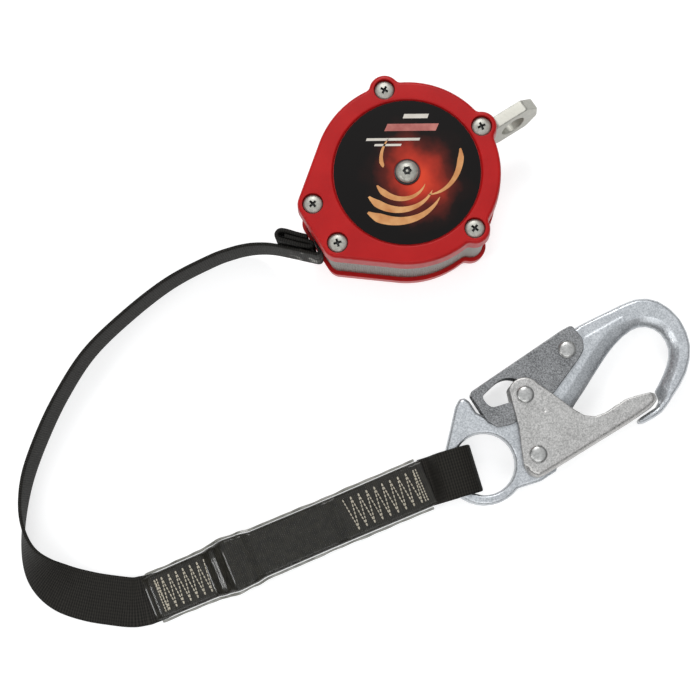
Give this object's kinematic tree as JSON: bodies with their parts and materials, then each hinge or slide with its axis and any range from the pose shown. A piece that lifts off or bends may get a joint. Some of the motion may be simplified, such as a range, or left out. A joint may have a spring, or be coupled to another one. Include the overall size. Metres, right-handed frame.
{
  "type": "self retracting lifeline",
  "caption": "Self retracting lifeline: round lug-screwed housing with a sprung webbing drum, swivel eye, stitched energy absorber and locking snap hook.",
  "frame": {"origin": "on the drum's axis at the flat back of the rear cover, on which the housing lies", "axes": "+Z out of the front cover, +Y from the drum towards the swivel eye, +X to the right seen from the front"},
  "size_m": [0.2132, 0.3508, 0.0571],
  "materials": {
    "cover_red": "glossy moulded red with light scuffs",
    "label_print": "printed black film with a soft red glow, glossy",
    "black_plastic": "matt black",
    "nylon": "natural nylon",
    "zinc": "bright zinc plate",
    "frame_steel": "plated sheet steel",
    "band_metal": "satin grey with fine upright ribs",
    "hook_steel": "forged, zinc plated, bluish silver",
    "lever_steel": "darker grainy plated sheet",
    "gate_steel": "warm grainy plated sheet",
    "spring_steel": "polished spring steel",
    "bronze": "sintered bronze",
    "webbing": "black woven webbing",
    "clear_sleeve": "clear shrink sleeve"
  },
  "bodies": {
    "housing": {"absorber_pack": "webbing", "absorber_sleeve": "clear_sleeve", "axle": "frame_steel", "axle_bolt": "zinc", "axle_nut": "zinc", "axle_washer": "black_plastic", "connector_loop": "webbing", "cover_screw_front_1": "zinc", "cover_screw_front_2": "zinc", "cover_screw_front_3": "zinc", "cover_screw_front_4": "zinc", "cover_screw_front_5": "zinc", "cover_screw_rear_1": "zinc", "cover_screw_rear_2": "zinc", "cover_screw_rear_3": "zinc", "cover_screw_rear_4": "zinc", "cover_screw_rear_5": "zinc", "frame_post_1": "zinc", "frame_post_2": "zinc", "frame_post_3": "zinc", "front_cover": "cover_red", "front_side_plate": "frame_steel", "gate_rivet": "zinc", "gate_spring": "spring_steel", "hook_body": "hook_steel", "housing_band": "band_metal", "label_disc": "label_print", "lever_rivet": "zinc", "lever_spring": "spring_steel", "lifeline_strap": "webbing", "lock_ring": "frame_steel", "power_spring": "spring_steel", "rear_cover": "cover_red", "rear_side_plate": "frame_steel", "roller_pin_left": "zinc", "roller_pin_right": "zinc", "spring_case": "frame_steel", "stopper_fold": "webbing", "swivel_washer": "frame_steel", "web_guide": "black_plastic", "web_lead": "webbing"},
    "drum": {"drum_hub": "nylon", "drum_flange_front": "frame_steel", "drum_flange_rear": "frame_steel", "bush_front": "bronze", "bush_rear": "bronze", "webbing_roll": "webbing", "pawl_pin_1": "zinc", "pawl_pin_2": "zinc", "pawl_spring_1": "spring_steel", "pawl_spring_2": "spring_steel"},
    "pawl_a": {"pawl_1": "frame_steel"},
    "pawl_b": {"pawl_2": "frame_steel"},
    "swivel": {"swivel_eye": "frame_steel", "swivel_nut": "zinc"},
    "roller_a": {"guide_roller_left": "nylon"},
    "roller_b": {"guide_roller_right": "nylon"},
    "gate": {"hook_gate": "gate_steel", "lock_rivet": "zinc"},
    "lever": {"hook_lever": "lever_steel"}
  },
  "joints": [
    {"name": "drum_spin", "type": "hinge", "parent": "housing", "child": "drum", "pos_m": [0, 0, 0.027], "axis": [0, 0, -1], "range_deg": [0, 3600], "stiffness_Nm_per_rad": 0.004, "springref_deg": -458.37, "deforming": ["power_spring"]},
    {"name": "pawl_a_swing", "type": "hinge", "parent": "drum", "child": "pawl_a", "pos_m": [0.01, 0.01732, 0.043], "axis": [0, 0, 1], "range_deg": [0, 12], "stiffness_Nm_per_rad": 0.01, "deforming": ["pawl_spring_1"]},
    {"name": "pawl_b_swing", "type": "hinge", "parent": "drum", "child": "pawl_b", "pos_m": [-0.01, -0.01732, 0.043], "axis": [0, 0, 1], "range_deg": [0, 12], "stiffness_Nm_per_rad": 0.01, "deforming": ["pawl_spring_2"]},
    {"name": "eye_swivel", "type": "hinge", "parent": "housing", "child": "swivel", "pos_m": [0, 0.0494, 0.027], "axis": [0, 1, 0], "continuous": true},
    {"name": "roller_left_spin", "type": "hinge", "parent": "housing", "child": "roller_a", "pos_m": [-0.0035, -0.0432, 0.027], "axis": [0, 0, 1], "continuous": true},
    {"name": "roller_right_spin", "type": "hinge", "parent": "housing", "child": "roller_b", "pos_m": [0.0035, -0.0432, 0.027], "axis": [0, 0, 1], "continuous": true},
    {"name": "gate_swing", "type": "hinge", "parent": "housing", "child": "gate", "pos_m": [0.1488, -0.0172, 0.0114], "axis": [0, 0, 1], "range_deg": [0, 20], "stiffness_Nm_per_rad": 0.15, "deforming": ["gate_spring"]},
    {"name": "lever_press", "type": "hinge", "parent": "housing", "child": "lever", "pos_m": [0.1125, 0.0239, 0.0114], "axis": [0, 0, 1], "range_deg": [0, 10], "stiffness_Nm_per_rad": 0.1, "deforming": ["lever_spring"]}
  ],
  "couplings": [
    {"joint": "lever_press", "follows": "gate_swing", "ratio": 0.5}
  ]
}
